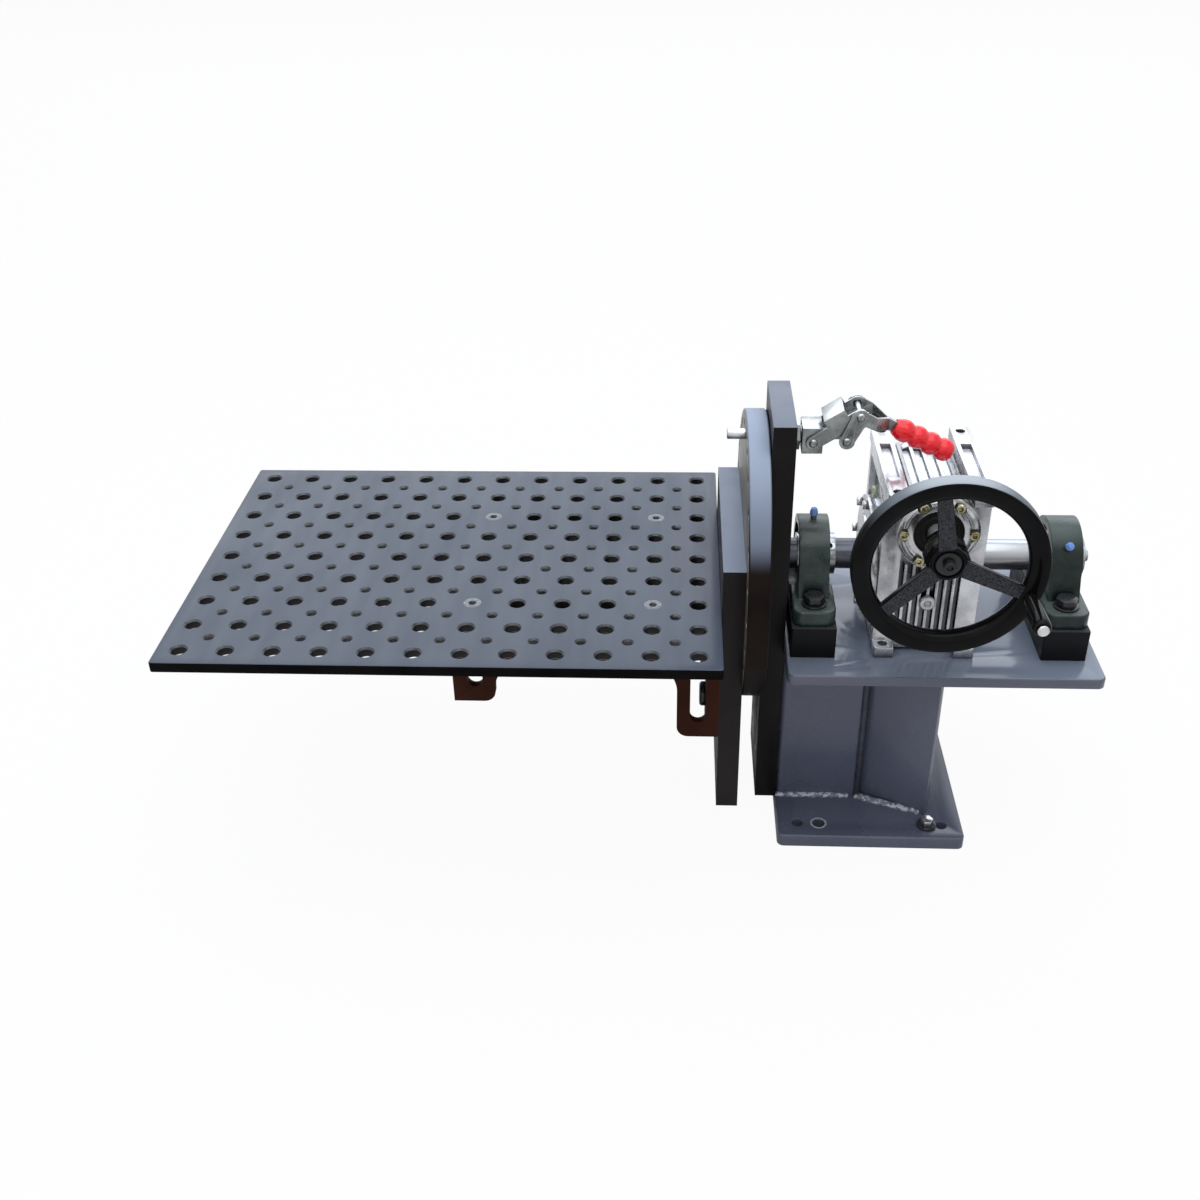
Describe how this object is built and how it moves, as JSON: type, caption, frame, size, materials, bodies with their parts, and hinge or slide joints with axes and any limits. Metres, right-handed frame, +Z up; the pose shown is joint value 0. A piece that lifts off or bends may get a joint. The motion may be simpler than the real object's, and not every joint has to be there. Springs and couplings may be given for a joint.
{
  "type": "welding positioner",
  "caption": "Hand-cranked welding positioner: hole-grid table on an indexed faceplate, turned through a worm gearbox above a welded column and base.",
  "frame": {"origin": "centre of the outer anchor-hole pattern, on the underside of the base plate", "axes": "+Z up; +X along the shaft from the table to the gearbox; -Y towards the handwheel"},
  "size_m": [1.023, 0.4555, 0.5135],
  "materials": {
    "frame_paint": "satin blue-grey paint",
    "side_steel": "satin near-black plate",
    "table_steel": "dark nitrided surface, light scratches",
    "disc_steel": "turned and blued",
    "bracket_brown": "satin red-brown coating",
    "black_steel": "black oxide",
    "green_hammered": "green hammered enamel",
    "bright_steel": "bright turned steel",
    "cast_aluminium": "as cast, fettled",
    "bronze": "machined bronze",
    "yellow_zinc": "yellow passivated zinc",
    "seal_rubber": "matt",
    "black_enamel": "gloss black enamel",
    "black_handle": "gloss moulded",
    "zinc_plate": "bright zinc plating",
    "red_grip": "gloss dipped"
  },
  "bodies": {
    "frame": {"base_plate": "frame_paint", "anchor_bolt": "bright_steel", "anchor_washer": "black_steel", "column_tube": "frame_paint", "gusset_front": "frame_paint", "gusset_rear": "frame_paint", "deck_plate": "frame_paint", "side_plate": "side_steel", "side_plate_screws": "black_steel", "riser_left": "black_steel", "riser_right": "black_steel", "pillow_housing_left": "green_hammered", "pillow_housing_right": "green_hammered", "bearing_outer_rings": "bright_steel", "pillow_bolts": "bright_steel", "pillow_washers": "bright_steel", "grease_nipple_left": "bright_steel", "grease_nipple_right": "bright_steel", "gearbox_housing": "cast_aluminium", "gearbox_side_cover": "cast_aluminium", "side_cover_screws": "yellow_zinc", "wheel_bearings": "bright_steel", "worm_bearings": "bright_steel", "input_cover": "cast_aluminium", "input_cover_screws": "yellow_zinc", "input_seal": "seal_rubber", "worm_rear_cap": "cast_aluminium", "level_plug": "bright_steel", "gearbox_bolts": "bright_steel", "clamp_block": "zinc_plate", "clamp_locknut": "zinc_plate", "clamp_block_rivets": "bright_steel"},
    "table_rotor": {"drive_shaft": "bright_steel", "faceplate": "disc_steel", "index_dowel": "bright_steel", "mounting_plate": "table_steel", "mounting_plate_screws": "black_steel", "welding_table": "table_steel", "bracket_front": "bracket_brown", "bracket_rear": "bracket_brown", "bracket_screws": "black_steel", "table_screws": "black_steel", "table_nuts": "black_steel", "bearing_collar_left": "bright_steel", "bearing_collar_right": "bright_steel", "worm_wheel": "bronze"},
    "handwheel": {"handwheel": "black_enamel", "handwheel_washer": "bright_steel", "handwheel_screw": "black_steel", "handle_spindle": "bright_steel", "worm_shaft": "bright_steel"},
    "revolving_handle": {"revolving_handle": "black_handle"},
    "plunger": {"clamp_plunger": "zinc_plate", "clamp_plunger_rivet": "bright_steel"},
    "clamp_link": {"clamp_link": "zinc_plate"},
    "clamp_handle": {"clamp_lever": "zinc_plate", "clamp_grip": "red_grip", "clamp_link_rivet": "bright_steel"}
  },
  "joints": [
    {"name": "table_rotation", "type": "hinge", "parent": "frame", "child": "table_rotor", "pos_m": [0, 0, 0.326], "axis": [1, 0, 0], "continuous": true},
    {"name": "handwheel_spin", "type": "hinge", "parent": "frame", "child": "handwheel", "pos_m": [0.0445, -0.129, 0.401], "axis": [0, 1, 0], "continuous": true},
    {"name": "handle_spin", "type": "hinge", "parent": "handwheel", "child": "revolving_handle", "pos_m": [0.12719, -0.1965, 0.3709], "axis": [0, 1, 0], "continuous": true},
    {"name": "clamp_handle_swing", "type": "hinge", "parent": "plunger", "child": "clamp_handle", "pos_m": [-0.0514, 0, 0.476], "axis": [0, -1, 0], "range_deg": [0, 38]},
    {"name": "plunger_slide", "type": "slide", "parent": "frame", "child": "plunger", "axis": [1, 0, 0], "range_m": [0, 0.019]},
    {"name": "clamp_link_swing", "type": "hinge", "parent": "frame", "child": "clamp_link", "pos_m": [-0.087, 0, 0.473], "axis": [0, -1, 0], "range_deg": [0, 3.5]}
  ],
  "couplings": [
    {"joint": "handwheel_spin", "follows": "table_rotation", "ratio": 30},
    {"joint": "plunger_slide", "follows": "clamp_handle_swing", "m_per_rad": 0.02817},
    {"joint": "clamp_link_swing", "follows": "clamp_handle_swing", "ratio": 0.0867}
  ]
}
